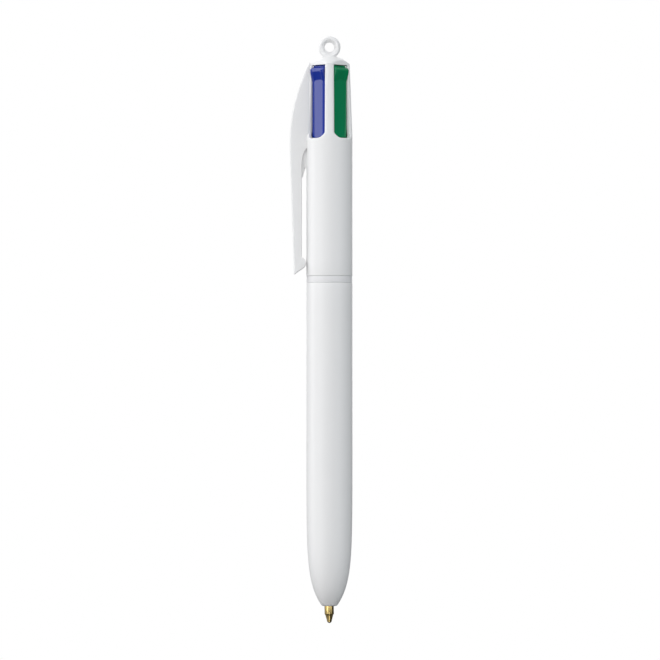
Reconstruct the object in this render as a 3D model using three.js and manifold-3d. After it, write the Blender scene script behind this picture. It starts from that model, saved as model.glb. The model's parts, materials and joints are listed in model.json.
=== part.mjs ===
// A four-colour click pen, upright on its writing tip, in millimetres with +Z up.
// The clip points to -X. Heights below are measured from the end of the nose;
// the outer group then lifts the pen so that the ball of the extended tip touches z = 0.
import * as THREE from 'three'
import { mergeVertices } from 'three/addons/utils/BufferGeometryUtils.js'
import Module from 'manifold-3d'

const wasm = await Module()
wasm.setup()

// ---- Driving dimensions ----
const BARREL_R = 5.85 // outer radius of both barrels
const WALL = 1.15 // wall of the lower barrel
const GAP = 0.1 // play between pieces that touch
const ROUND = 40 // sides of a barrel
const TRAVEL = 10.5 // stroke of a slider
const REFILL_R = 2.75 // distance of the four refills from the pen's axis
const TIP_OUT = 4.4 // how far the extended tip stands out of the nose

const NOSE = { rimR: 1.9, holeR: 1.35, length: 5.45, top: 33, steps: 9, insideSteps: 6 }
const LOWER = { top: 82.05, socketR: 5.0, socketFloor: 71 }
const BAND = { bottom: 82.15, top: 83.65, r: 5.72 }
const UPPER = { bottom: 83.75, boreR: 4.75, taperFrom: 119, shoulderR: 5.13 }
const RIBS = { boreR: 4.3, from: 119.4, full: 121.2, top: 137.35 } // the bore narrows behind the slots
const DOME = { top: 139.7, radius: 7, steps: 5 }
const SLOT = { halfTop: 2.4, halfFoot: 2.62, bottom: 118.6, top: 137.15, cornerR: 1.9, from: 2 }
const DOME_FLAT = { half: 3.4, at: 4.1 } // a flat over each slot, this far from the axis
const COLLAR = { foot: 72, outerR: 4.6, innerR: 4.1, plateFrom: 87.5, top: 90, holeR: 1.5 }
const THREAD = { ridgeR: 0.32, pitch: 1.5, from: 74, turns: 4 }
const CORE = { postR: 0.6, catchR: 0.85, armHalf: 0.4, armR: 3.3, armsFrom: 109.2, catchFrom: 126.6 }
const RING = { z: 141.85, holeR: 1.2, outerR: 2.8, half: 0.95, flatFrom: 1.7, flatTo: 2.3 }
const SPRING = { r: 1.6, wireR: 0.17, turns: 8, clear: 0.15 }
const SLIDER = {
  foot: 108, top: 136.9, faceFrom: 116.8, panel: 3.92, panelHalf: 1.5, edge: 3.76, edgeHalf: 2.28,
  back: 2.85, backHalf: 2.16, legFrom: 1.8, legHalf: 1.05, fin: 1.0, finHalf: 0.25,
  shoulderR: 1.75, pinR: 0.6, pinEnd: 100.5,
}
const KNOB = [
  { z: 133.35, panel: 3.92, panelHalf: 1.5, edge: 3.76, edgeHalf: 2.28 },
  { z: 135.8, panel: 4.75, panelHalf: 1.6, edge: 4.55, edgeHalf: 2.3 },
  { z: 136.1, panel: 4.65, panelHalf: 1.58, edge: 4.42, edgeHalf: 2.26 },
  { z: 136.7, panel: 3.7, panelHalf: 1.45, edge: 3.4, edgeHalf: 2.16 },
]
const REFILL = { pivotUp: 103.5, tubeTop: 0.8, tubeR: 1.25, boreR: 0.9, length: 97.44 }
const POINT = {
  r: 1.18, coneTop: 2.3, stepR: 1.0, step: 2.05, neckR: 0.65, neck: 0.75, lipR: 0.58, lip: 0.29,
  shoulder: 13.94, shankR: 0.84, end: 17, feedR: 0.3, feedFrom: 1.25, seatFrom: 0.55, seatTo: 1.0,
  seatGap: 0.04,
}
const BALL_R = 0.5
const INK = { r: 0.8, column: 56 }
const CLIP = {
  innerX: -7.0, kneeX: -10.06, kneeZ: 116, tipX: -9.0, tipZ: 84.2, bowR: 44, top: 137.9,
  bumpX: -7.46, bumpZ: 87, bumpR: 1.5, halfTop: 0.92, halfTip: 2.0, flexZ: 106, rootZ: 111.9,
  insideWall: -5.2,
}
const WEB = { half: 0.75, top: 116.4, foot: 108.8, barrelZ: 111.5, outerX: -7.6, innerX: -6.85 }

// The four colours, with the direction of each slot from the pen's axis.
const COLOURS = [
  { name: 'blue', angle: 225, hex: 0x1a3aa8, pressed: false },
  { name: 'green', angle: 315, hex: 0x00714a, pressed: false },
  { name: 'red', angle: 45, hex: 0xc01820, pressed: false },
  { name: 'black', angle: 135, hex: 0x16171a, pressed: true },
]

// The clip's outer edge: a straight run that leans in to the tip, then a bow that meets it smoothly.
const CLIP_LEAN = Math.atan((CLIP.tipX - CLIP.kneeX) / (CLIP.kneeZ - CLIP.tipZ))
const BOW_X = CLIP.kneeX + CLIP.bowR * Math.cos(CLIP_LEAN)
const BOW_Z = CLIP.kneeZ + CLIP.bowR * Math.sin(CLIP_LEAN)

// The pen's box runs from the clip's bow to the far side of the barrel; its middle is x = 0.
const AXIS_X = (CLIP.bowR - BOW_X - BARREL_R) / 2

const deg = THREE.MathUtils.degToRad

// ---- From three.js geometry to solids and back ----

// Keeps only positions, merges what coincides, and turns the faces outward.
function solid(geometry) {
  const bare = new THREE.BufferGeometry()
  bare.setAttribute('position', geometry.getAttribute('position'))
  if (geometry.index) bare.setIndex(geometry.index)
  const merged = mergeVertices(bare, 1e-4)
  const position = merged.getAttribute('position')
  const kept = []
  let volume = 0
  const [a, b, c] = [new THREE.Vector3(), new THREE.Vector3(), new THREE.Vector3()]
  for (let i = 0; i < merged.index.count; i += 3) {
    const corner = [0, 1, 2].map((k) => merged.index.getX(i + k))
    if (new Set(corner).size < 3) continue
    a.fromBufferAttribute(position, corner[0])
    b.fromBufferAttribute(position, corner[1])
    c.fromBufferAttribute(position, corner[2])
    volume += a.dot(b.cross(c))
    kept.push(corner)
  }
  const faces = kept.flatMap(([p, q, r]) => (volume < 0 ? [p, r, q] : [p, q, r]))
  return new wasm.Manifold(
    new wasm.Mesh({
      numProp: 3,
      vertProperties: new Float32Array(position.array),
      triVerts: new Uint32Array(faces),
    }),
  )
}

function geometryOf(manifold) {
  const mesh = manifold.getMesh()
  const geometry = new THREE.BufferGeometry()
  geometry.setAttribute('position', new THREE.BufferAttribute(new Float32Array(mesh.vertProperties), 3))
  geometry.setIndex(new THREE.BufferAttribute(new Uint32Array(mesh.triVerts), 1))
  return geometry
}

const join = (first, ...others) => others.reduce((sum, other) => sum.add(other), first)
const cut = (first, ...others) => others.reduce((rest, other) => rest.subtract(other), first)

// ---- Basic shapes ----

// A turned solid around the Z axis from an outline of [radius, height] points.
function turned(outline, sides = ROUND) {
  const points = outline.map(([r, z]) => new THREE.Vector2(r, z))
  const onAxis = outline[0][0] === 0 && outline.at(-1)[0] === 0
  if (!onAxis) points.push(points[0].clone())
  return solid(new THREE.LatheGeometry(points, sides).rotateX(Math.PI / 2))
}

const rod = (r, from, to, sides) => turned([[0, from], [r, from], [r, to], [0, to]], sides)

// A prism: a shape drawn in (x, z), running from y = -half to y = +half.
function prismXZ(shape, half, curveSegments = 8) {
  const geometry = new THREE.ExtrudeGeometry(shape, { depth: 2 * half, bevelEnabled: false, curveSegments })
  return geometry.translate(0, 0, -half).rotateX(Math.PI / 2)
}

// A prism standing along Z: a shape drawn in (x, y), from one height to another.
function prismZ(points, from, to) {
  const shape = new THREE.Shape(points.map(([x, y]) => new THREE.Vector2(x, y)))
  return new THREE.ExtrudeGeometry(shape, { depth: to - from, bevelEnabled: false }).translate(0, 0, from)
}

// A solid through one convex outline of [x, y] points at each height, all with the same number of points.
function lofted(levels) {
  const count = levels[0].outline.length
  const last = (levels.length - 1) * count
  const faces = []
  for (let from = 0; from < last; from += count) {
    for (let i = 0; i < count; i += 1) {
      const [a, b] = [from + i, from + ((i + 1) % count)]
      faces.push(a, b, b + count, a, b + count, a + count)
    }
  }
  for (let i = 1; i + 1 < count; i += 1) faces.push(0, i + 1, i, last, last + i, last + i + 1)
  const corners = levels.flatMap(({ z, outline }) => outline.flatMap(([x, y]) => [x, y, z]))
  const geometry = new THREE.BufferGeometry()
  geometry.setAttribute('position', new THREE.Float32BufferAttribute(corners, 3))
  geometry.setIndex(faces)
  return solid(geometry)
}

const mirrored = (half) => [...half, ...half.map(([x, y]) => [x, -y]).reverse()]

class Helix extends THREE.Curve {
  constructor(radius, from, to, turns) {
    super()
    Object.assign(this, { radius, from, to, turns })
  }

  getPoint(t, target = new THREE.Vector3()) {
    const turn = 2 * Math.PI * this.turns * t
    const height = this.from + (this.to - this.from) * t
    return target.set(this.radius * Math.cos(turn), this.radius * Math.sin(turn), height)
  }
}

// A round wire wound on a helix, with closed ends.
function coil(radius, wireR, from, to, turns, stepsPerTurn, sides) {
  const section = new THREE.Shape()
  for (let i = 0; i < sides; i += 1) {
    const turn = (2 * Math.PI * i) / sides
    const [x, y] = [wireR * Math.cos(turn), wireR * Math.sin(turn)]
    if (i === 0) section.moveTo(x, y)
    else section.lineTo(x, y)
  }
  const extrudePath = new Helix(radius, from + wireR, to - wireR, turns)
  return new THREE.ExtrudeGeometry(section, { steps: stepsPerTurn * turns, extrudePath })
}

// ---- Barrels ----

const noseR = (z) => BARREL_R - (BARREL_R - NOSE.rimR) * Math.exp(-z / NOSE.length)

// The nose rounds in to a small flat rim; its heights crowd together towards the rim.
function noseOutline(radiusAt, from, steps) {
  const outline = []
  for (let i = 0; i <= steps; i += 1) {
    const z = from + (NOSE.top - from) * (i / steps) ** 2
    outline.push([radiusAt(z), z])
  }
  return outline
}

function lowerBarrel() {
  const landTop = 0.9
  const edge = 0.15
  const outside = noseOutline(noseR, 0, NOSE.steps)
  const insideR = (z) => Math.max(noseR(z) - WALL, NOSE.holeR)
  const inside = noseOutline(insideR, landTop, NOSE.insideSteps)
  return turned([
    [NOSE.holeR, 0],
    ...outside,
    [BARREL_R, LOWER.top - edge],
    [BARREL_R - edge, LOWER.top],
    [LOWER.socketR, LOWER.top],
    [LOWER.socketR, LOWER.socketFloor],
    [BARREL_R - WALL, LOWER.socketFloor - 0.3],
    ...inside.reverse(),
  ])
}

// The dome is a cap of a large sphere; grow makes a larger copy of it.
function domeOutline(grow = 0) {
  const radius = DOME.radius + grow
  const centre = DOME.top - DOME.radius
  const widest = Math.asin((UPPER.shoulderR + grow) / radius)
  const outline = []
  for (let i = 0; i <= DOME.steps; i += 1) {
    const angle = widest * (1 - i / DOME.steps)
    outline.push([i === DOME.steps ? 0 : radius * Math.sin(angle), centre + radius * Math.cos(angle)])
  }
  return outline
}

function barrelShell() {
  const edge = 0.12
  return turned([
    [0, RIBS.top],
    [RIBS.boreR, RIBS.top],
    [RIBS.boreR, RIBS.full],
    [UPPER.boreR, RIBS.from],
    [UPPER.boreR, UPPER.bottom],
    [BARREL_R - edge, UPPER.bottom],
    [BARREL_R, UPPER.bottom + edge],
    [BARREL_R, UPPER.taperFrom],
    ...domeOutline(),
  ])
}

// The window that a slider shows through, cut outward along +X and then turned.
function slotCutter(angle) {
  const { halfTop, halfFoot, bottom, top, cornerR } = SLOT
  const shape = new THREE.Shape()
  shape.moveTo(halfTop, top)
  shape.lineTo(-halfTop, top)
  shape.lineTo(-halfFoot, bottom + cornerR)
  shape.absarc(-halfFoot + cornerR, bottom + cornerR, cornerR, Math.PI, 1.5 * Math.PI)
  shape.absarc(halfFoot - cornerR, bottom + cornerR, cornerR, 1.5 * Math.PI, 2 * Math.PI)
  return solid(outward(shape, SLOT.from).rotateZ(deg(angle)))
}

// The flat above each slot, where the dome is cut away beside the slot's wall.
function domeFlatCutter(angle) {
  const { half, at } = DOME_FLAT
  const above = DOME.top + 1
  const shape = new THREE.Shape()
  shape.moveTo(half, SLOT.top)
  shape.lineTo(half, above)
  shape.lineTo(-half, above)
  shape.lineTo(-half, SLOT.top)
  return solid(outward(shape, at).rotateZ(deg(angle)))
}

// Takes a shape drawn in (y, z) and extrudes it along +X, past the clip.
function outward(shape, from) {
  const reach = 12
  const geometry = new THREE.ExtrudeGeometry(shape, {
    depth: reach - from, bevelEnabled: false, curveSegments: 5,
  })
  const basis = new THREE.Matrix4().makeBasis(
    new THREE.Vector3(0, 1, 0),
    new THREE.Vector3(0, 0, 1),
    new THREE.Vector3(1, 0, 0),
  )
  return geometry.translate(0, 0, from).applyMatrix4(basis)
}

// ---- Clip: a root moulded on the upper barrel, and the springy arm below it ----

// Width grows evenly from the top of the clip to its tip.
function widenDownward(geometry) {
  const position = geometry.getAttribute('position')
  for (let i = 0; i < position.count; i += 1) {
    const down = (CLIP.top - position.getZ(i)) / (CLIP.top - CLIP.tipZ)
    position.setY(i, position.getY(i) * THREE.MathUtils.lerp(CLIP.halfTop, CLIP.halfTip, down))
  }
  return geometry
}

// Where the straight outer edge of the clip lies at a height.
function outerX(z) {
  const t = (CLIP.kneeZ - z) / (CLIP.kneeZ - CLIP.tipZ)
  return THREE.MathUtils.lerp(CLIP.kneeX, CLIP.tipX, t)
}

// The arm bends at the flex line, where its round end turns in the root.
function flexCentre() {
  const outer = outerX(CLIP.flexZ)
  return { x: (outer + CLIP.innerX) / 2, r: (CLIP.innerX - outer) / 2 }
}

function clipRootOutline() {
  const insideDome = -4.9
  const sideTop = { x: -5.72, z: 116.05 }
  const curve = { x: -6.9, z: 115 }
  const topAngle = Math.PI - Math.asin((CLIP.top - BOW_Z) / CLIP.bowR)
  const { x, r } = flexCentre()
  const shape = new THREE.Shape()
  shape.moveTo(CLIP.insideWall, sideTop.z)
  shape.lineTo(insideDome, CLIP.top)
  shape.absarc(BOW_X, BOW_Z, CLIP.bowR, topAngle, Math.PI + CLIP_LEAN, false)
  shape.lineTo(outerX(CLIP.flexZ), CLIP.flexZ)
  shape.absarc(x, CLIP.flexZ, r, Math.PI, 0, true)
  shape.lineTo(CLIP.innerX, CLIP.rootZ)
  shape.quadraticCurveTo(curve.x, curve.z, sideTop.x, sideTop.z)
  return shape
}

// The narrow web that ties the root to the barrel, set back from its sides.
function clipWebOutline() {
  const curve = { x: -6.35, z: 111.2 }
  const inBarrel = -BARREL_R + 0.1
  const shape = new THREE.Shape()
  shape.moveTo(WEB.outerX, WEB.top)
  shape.lineTo(WEB.outerX, WEB.foot)
  shape.lineTo(WEB.innerX, WEB.foot)
  shape.quadraticCurveTo(curve.x, curve.z, inBarrel, WEB.barrelZ)
  shape.lineTo(CLIP.insideWall, WEB.barrelZ)
  shape.lineTo(CLIP.insideWall, WEB.top)
  return shape
}

function clipArm() {
  const { x, r } = flexCentre()
  const [across, up] = [CLIP.bumpX - CLIP.tipX, CLIP.bumpZ - CLIP.tipZ]
  const endAngle = Math.atan2(up, across) - Math.PI + Math.acos(CLIP.bumpR / Math.hypot(across, up))
  const startAngle = Math.acos((CLIP.innerX - CLIP.bumpX) / CLIP.bumpR)
  const shape = new THREE.Shape()
  shape.moveTo(CLIP.tipX, CLIP.tipZ)
  shape.lineTo(x - r + GAP, CLIP.flexZ)
  shape.absarc(x, CLIP.flexZ, r - GAP, Math.PI, 0, true)
  shape.lineTo(CLIP.innerX, CLIP.flexZ - 1)
  shape.absarc(CLIP.bumpX, CLIP.bumpZ, CLIP.bumpR, startAngle, endAngle, true)
  return solid(widenDownward(prismXZ(shape, 1)))
}

function upperBarrel() {
  const body = join(
    barrelShell(),
    solid(widenDownward(prismXZ(clipRootOutline(), 1))),
    solid(prismXZ(clipWebOutline(), WEB.half)),
  )
  const windows = COLOURS.flatMap(({ angle }) => [slotCutter(angle), domeFlatCutter(angle)])
  return cut(body, ...windows)
}

// A loop with flat sides, standing clear of the dome that it is moulded to.
function lanyardRing() {
  const { holeR, outerR, half, flatFrom, flatTo, z } = RING
  const edge = 0.35
  const loop = turned([
    [holeR, -edge], [flatFrom, -half], [flatTo, -half], [outerR, -edge],
    [outerR, edge], [flatTo, half], [flatFrom, half], [holeR, edge],
  ], 20)
  const standing = loop.rotate([90, 0, 0]).translate([0, 0, z])
  const dome = turned([[0, RIBS.top], [UPPER.shoulderR + GAP, RIBS.top], ...domeOutline(GAP)])
  return cut(standing, dome)
}

// ---- Inside: collar, core, springs ----

function threadedCollar() {
  const body = turned([
    [COLLAR.innerR, COLLAR.foot],
    [COLLAR.outerR, COLLAR.foot],
    [COLLAR.outerR, BAND.bottom],
    [BAND.r, BAND.bottom],
    [BAND.r, BAND.top],
    [UPPER.boreR - GAP, BAND.top],
    [UPPER.boreR - GAP, COLLAR.top],
    [0, COLLAR.top],
    [0, COLLAR.plateFrom],
    [COLLAR.innerR, COLLAR.plateFrom],
  ])
  const ridge = coil(
    COLLAR.outerR - 0.03, THREAD.ridgeR, THREAD.from, THREAD.from + THREAD.pitch * THREAD.turns,
    THREAD.turns, 16, 4,
  )
  const holes = COLOURS.map(({ angle }) =>
    rod(COLLAR.holeR, COLLAR.plateFrom - 1, COLLAR.top + 1, 16)
      .translate([REFILL_R * Math.cos(deg(angle)), REFILL_R * Math.sin(deg(angle)), 0]))
  return cut(join(body, solid(ridge)), ...holes)
}

// A post with four walls between the sliders, and a catch above the pressed sliders.
function latchCore() {
  const { postR, catchR, armHalf, armR, armsFrom, catchFrom } = CORE
  const top = RIBS.top - GAP
  const wall = (x, y) => solid(prismZ([[x, y], [-x, y], [-x, -y], [x, -y]], armsFrom, top))
  return join(
    rod(postR, COLLAR.top + GAP, top, 16),
    rod(catchR, catchFrom, top, 16),
    wall(armR, armHalf),
    wall(armHalf, armR),
  )
}

function spring(footZ, headZ) {
  const { r, wireR, turns, clear } = SPRING
  return solid(coil(r, wireR, footZ + clear, headZ - clear, turns, 10, 4))
}

// ---- Sliders and refills, drawn along +X with the slider up ----

// Across its front a slider has a flat panel with a long chamfer on each side.
const sliderFront = ({ panel, panelHalf, edge, edgeHalf }) => [[panel, panelHalf], [edge, edgeHalf]]

function slider() {
  const { foot, top, faceFrom, back, backHalf, legFrom, legHalf, fin, finHalf } = SLIDER
  const { shoulderR, pinR, pinEnd } = SLIDER
  const face = mirrored([
    ...sliderFront(SLIDER), [back, backHalf], [back, legHalf], [legFrom, legHalf], [fin, finHalf],
  ])
  const leg = mirrored([[SLIDER.edge, legHalf], [legFrom, legHalf]])
  const knob = KNOB.map((level) => ({
    z: level.z,
    outline: mirrored([...sliderFront(level), [back, level.edgeHalf - 0.1]]),
  }))
  return join(
    solid(prismZ(face, faceFrom, top)),
    solid(prismZ(leg, foot, faceFrom + 0.5)),
    lofted(knob),
    rod(shoulderR, foot, foot + 1, 20).translate([REFILL_R, 0, 0]),
    rod(pinR, pinEnd, foot + 0.5, 12).translate([REFILL_R, 0, 0]),
  )
}

// Refill pieces hang from the pivot at z = 0 and end at the ball, -REFILL.length.
function refillTube() {
  const foot = POINT.shoulder + 0.06 - REFILL.length
  const { tubeTop, tubeR, boreR } = REFILL
  return turned([[boreR, foot], [tubeR, foot], [tubeR, tubeTop], [boreR, tubeTop]], 14)
}

function inkColumn() {
  const foot = POINT.end + GAP - REFILL.length
  return rod(INK.r, foot, foot + INK.column, 12)
}

// A turned point: a cone in two steps down to the lip that is rolled over the ball.
function brassPoint() {
  const p = POINT
  const seatR = BALL_R + p.seatGap
  return turned([
    [BALL_R, p.lip], [p.lipR, p.lip], [p.neckR, p.neck], [p.stepR, p.step], [p.r, p.coneTop],
    [p.r, p.shoulder], [p.shankR, p.shoulder], [p.shankR, p.end],
    [p.feedR, p.end], [p.feedR, p.feedFrom], [seatR, p.seatTo], [seatR, p.seatFrom],
  ].map(([radius, z]) => [radius, z - REFILL.length]), 12)
}

const ball = () => solid(new THREE.SphereGeometry(BALL_R, 10, 6)).translate([0, 0, BALL_R - REFILL.length])

// ---- The assembly ----

const finish = (color, roughness, metalness) =>
  new THREE.MeshStandardMaterial({ color, roughness, metalness })
const plastic = (color, roughness = 0.35) => finish(color, roughness, 0)
const metal = (color) => finish(color, 0.3, 1)
const WHITE = plastic(0xf1f2f4)
const GREY_PLASTIC = plastic(0xe6e7ea, 0.4)
const STEEL = metal(0xb9bcc0)
const BRASS = metal(0xc9a24a)
const CLEAR = plastic(0xe9ecee, 0.2)

function piece(name, shape, material) {
  const mesh = new THREE.Mesh(geometryOf(shape), material)
  mesh.name = name
  return mesh
}

// A refill leans in from its slider, so that a pressed one ends on the pen's axis.
function leanOf(pressed) {
  const retractedTipR = 2.5
  const tipR = pressed ? 0 : retractedTipR
  return Math.asin((REFILL_R - tipR) / REFILL.length)
}

function station({ name, angle, hex, pressed }) {
  const drop = pressed ? TRAVEL : 0
  const group = new THREE.Group()
  group.rotation.z = deg(angle)

  const sliderMesh = piece(`slider_${name}`, slider(), plastic(hex))
  sliderMesh.position.z = -drop

  const springMesh = piece(`spring_${name}`, spring(COLLAR.top, SLIDER.foot - drop), STEEL)
  springMesh.position.x = REFILL_R

  const refill = new THREE.Group()
  refill.position.set(REFILL_R, 0, REFILL.pivotUp - drop)
  refill.rotation.y = leanOf(pressed)
  refill.add(
    piece(`refill_tube_${name}`, refillTube(), CLEAR),
    piece(`ink_${name}`, inkColumn(), plastic(hex, 0.6)),
    piece(`point_${name}`, brassPoint(), BRASS),
    piece(`ball_${name}`, ball(), STEEL),
  )
  group.add(sliderMesh, springMesh, refill)
  return group
}

const pen = new THREE.Group()
pen.position.set(AXIS_X, 0, TIP_OUT)
pen.add(
  piece('upper_barrel', upperBarrel(), WHITE),
  piece('lanyard_ring', lanyardRing(), WHITE),
  piece('clip_arm', clipArm(), WHITE),
  piece('threaded_collar', threadedCollar(), GREY_PLASTIC),
  piece('latch_core', latchCore(), GREY_PLASTIC),
  piece('lower_barrel', lowerBarrel(), WHITE),
  ...COLOURS.map(station),
)

export default pen
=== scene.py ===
"""Looks of a four-colour click pen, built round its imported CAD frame.

Shapes are drawn in millimetres in the pen's own frame: z runs up from the end of the nose,
x = y = 0 is the pen's axis and the clip points to -X. world() turns that into the row frame.
"""

import json
import math

import bmesh
import bpy
import numpy as np
from mathutils import Vector
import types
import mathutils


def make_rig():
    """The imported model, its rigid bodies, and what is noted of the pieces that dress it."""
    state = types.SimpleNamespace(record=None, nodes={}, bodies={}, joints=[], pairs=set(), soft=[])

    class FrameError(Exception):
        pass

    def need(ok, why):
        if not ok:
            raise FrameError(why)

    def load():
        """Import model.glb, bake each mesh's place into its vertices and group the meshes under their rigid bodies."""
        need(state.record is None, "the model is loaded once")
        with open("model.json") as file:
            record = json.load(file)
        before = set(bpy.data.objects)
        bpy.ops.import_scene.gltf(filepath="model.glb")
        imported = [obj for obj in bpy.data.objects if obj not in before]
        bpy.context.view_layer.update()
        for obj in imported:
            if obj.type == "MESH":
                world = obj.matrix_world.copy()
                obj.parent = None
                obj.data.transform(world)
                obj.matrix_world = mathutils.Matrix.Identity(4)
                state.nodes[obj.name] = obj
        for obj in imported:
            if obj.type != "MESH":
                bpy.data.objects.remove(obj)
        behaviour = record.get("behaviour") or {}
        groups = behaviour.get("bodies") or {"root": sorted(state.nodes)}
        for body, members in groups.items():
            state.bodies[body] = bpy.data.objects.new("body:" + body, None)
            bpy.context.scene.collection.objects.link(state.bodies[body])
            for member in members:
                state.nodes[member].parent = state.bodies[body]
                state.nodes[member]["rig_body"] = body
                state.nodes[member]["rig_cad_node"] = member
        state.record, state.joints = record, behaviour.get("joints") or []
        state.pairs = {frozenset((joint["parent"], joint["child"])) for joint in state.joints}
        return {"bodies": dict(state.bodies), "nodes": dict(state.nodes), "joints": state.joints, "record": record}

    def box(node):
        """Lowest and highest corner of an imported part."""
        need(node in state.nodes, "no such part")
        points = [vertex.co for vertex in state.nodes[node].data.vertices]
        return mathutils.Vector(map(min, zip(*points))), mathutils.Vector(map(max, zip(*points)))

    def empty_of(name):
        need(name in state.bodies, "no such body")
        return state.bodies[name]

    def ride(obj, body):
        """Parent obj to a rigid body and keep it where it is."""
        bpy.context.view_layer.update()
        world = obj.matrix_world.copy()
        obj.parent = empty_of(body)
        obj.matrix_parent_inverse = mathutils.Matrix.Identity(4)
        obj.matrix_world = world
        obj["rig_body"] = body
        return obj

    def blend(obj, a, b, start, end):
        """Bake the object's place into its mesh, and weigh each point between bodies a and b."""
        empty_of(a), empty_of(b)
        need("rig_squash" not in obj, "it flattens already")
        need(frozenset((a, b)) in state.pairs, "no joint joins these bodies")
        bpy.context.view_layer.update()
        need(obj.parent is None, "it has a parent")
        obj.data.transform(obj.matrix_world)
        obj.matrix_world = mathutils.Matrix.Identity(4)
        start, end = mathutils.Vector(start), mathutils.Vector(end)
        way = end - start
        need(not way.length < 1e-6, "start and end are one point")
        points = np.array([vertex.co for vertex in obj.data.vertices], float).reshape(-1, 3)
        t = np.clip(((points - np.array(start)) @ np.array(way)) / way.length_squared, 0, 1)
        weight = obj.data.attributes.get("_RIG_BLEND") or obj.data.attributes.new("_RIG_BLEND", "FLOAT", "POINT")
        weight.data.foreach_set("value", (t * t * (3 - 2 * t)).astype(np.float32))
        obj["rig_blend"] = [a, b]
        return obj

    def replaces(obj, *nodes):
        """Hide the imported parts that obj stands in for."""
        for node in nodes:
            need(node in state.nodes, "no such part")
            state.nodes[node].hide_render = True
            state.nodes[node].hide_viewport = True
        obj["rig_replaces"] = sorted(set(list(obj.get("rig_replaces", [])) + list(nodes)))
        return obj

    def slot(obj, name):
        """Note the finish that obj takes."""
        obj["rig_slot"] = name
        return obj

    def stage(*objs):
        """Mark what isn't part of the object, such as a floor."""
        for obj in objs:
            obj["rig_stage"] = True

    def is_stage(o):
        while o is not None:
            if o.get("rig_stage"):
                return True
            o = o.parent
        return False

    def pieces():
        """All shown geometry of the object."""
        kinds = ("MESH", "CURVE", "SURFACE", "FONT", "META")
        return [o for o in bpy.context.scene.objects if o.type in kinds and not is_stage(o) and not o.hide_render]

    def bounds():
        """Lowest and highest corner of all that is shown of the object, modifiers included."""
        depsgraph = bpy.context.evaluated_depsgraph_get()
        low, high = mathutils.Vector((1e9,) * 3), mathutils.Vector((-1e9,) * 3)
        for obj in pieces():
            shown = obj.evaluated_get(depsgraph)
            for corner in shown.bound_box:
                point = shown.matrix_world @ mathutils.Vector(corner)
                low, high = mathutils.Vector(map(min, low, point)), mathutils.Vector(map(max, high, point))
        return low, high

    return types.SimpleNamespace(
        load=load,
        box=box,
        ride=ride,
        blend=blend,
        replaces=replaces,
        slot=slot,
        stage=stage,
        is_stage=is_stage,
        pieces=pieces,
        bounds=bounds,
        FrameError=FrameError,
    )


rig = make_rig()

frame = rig.load()
cad_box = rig.bounds()

# ---- The frame: where the pen stands, and its main sizes ----

MM = 0.001
LOW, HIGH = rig.box("lower_barrel")
AXIS_X, NOSE_Z = (LOW.x + HIGH.x) / 2, LOW.z
BARREL_R = (HIGH.x - LOW.x) / 2 / MM
LOWER_TOP = (HIGH.z - LOW.z) / MM


def height(node, high=True):
    """The top or foot of a CAD node, in the pen's millimetres."""
    return (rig.box(node)[1 if high else 0].z - NOSE_Z) / MM


UPPER_FOOT = height("upper_barrel", high=False)
CLIP_TIP = height("clip_arm", high=False)
CORE_TOP = height("latch_core")
PLATE_TOP = height("threaded_collar")
SLIDER_FOOT = 108.0
TRAVEL = 10.5
REFILL_R = 2.75

# The barrels. SOCKET is the lower one's bore for the collar; SEAM rounds both ends that meet the collar.
NOSE = {"rim": 1.9, "hole": 1.35, "length": 5.45, "top": 33.0, "wall": 1.15, "soft": 0.12}
SOCKET = {"mouth": 5.06, "r": 5.0, "foot": 71.0, "step": 70.7}
SEAM = 0.06
UPPER = {"bore": 4.75, "taper_from": 119.0, "shoulder": 5.13, "dome": 7.0, "top": 139.7}
DOME_Z = UPPER["top"] - UPPER["dome"]
SHOULDER_Z = DOME_Z + math.sqrt(UPPER["dome"] ** 2 - UPPER["shoulder"] ** 2)

# Where the bore narrows: over the heights "over" all round, and over "low" on the ribs between the
# slots, which are beyond "angles" from a slot's middle.
RIBS = {"bore": 4.3, "over": (119.4, 121.2), "low": (113.6, 114.6), "angles": (0.64, 0.7)}

# The slots, the flats over them, and the rounding of a slot's edge as (width, depth).
SLOT = {
    "half_top": 2.4, "half_foot": 2.62, "foot": 118.6, "top": 137.15, "foot_r": 1.5, "top_r": 0.25,
}
FLAT = {"at": 4.1, "soft": 0.05, "from": 136.9, "full": 137.15}
LIP = {"side": (1.1, 1.0), "foot": (0.4, 0.36), "top": (0.13, 0.13), "wall_t": 3.85}

# The upper barrel is four sectors, one round each slot. SLOT_RUNS counts the steps along half a slot's
# outline; OVER and UNDER count those that face the dome and the plain barrel below.
HALF_SECTOR = math.radians(45)
SECTOR_FOOT = 115.5
CEILING_R = 3.8
SLOT_RUNS = {"top": 6, "top_arc": 6, "side": 30, "foot_arc": 12, "foot": 4}
OVER = SLOT_RUNS["top"] + SLOT_RUNS["top_arc"] // 2
UNDER = SLOT_RUNS["foot"] + SLOT_RUNS["foot_arc"] // 2

# The collar's band between the barrels, the rest of the collar, and its thread.
BAND = {"foot": 82.09, "top": 83.71, "r": 5.79}
COLLAR = {"foot": 72.0, "outer": 4.6, "inner": 4.1, "plate": 87.5, "hole": 1.5}
THREAD = {"r": 4.6, "ridge": 0.3, "pitch": 1.5, "from": 74.0, "turns": 4}
RING = {"z": 141.85, "hole": 1.2, "outer": 2.8, "half": 0.95}

# The clip in side view, as (x, z): its root runs out of the barrel from "leaves" down to "root".
CLIP = {
    "knee": (-10.06, 116.0), "tip_x": -9.0, "inner_x": -7.0, "bow": 44.0, "top": 137.9,
    "leaves": (-5.72, 116.05), "root": (-7.0, 111.9), "pull": (-6.9, 115.0), "sunk_x": -5.2,
    "bump": (-7.46, 87.0), "bump_r": 1.5, "half_top": 0.92, "half_tip": 2.0,
}

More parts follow.
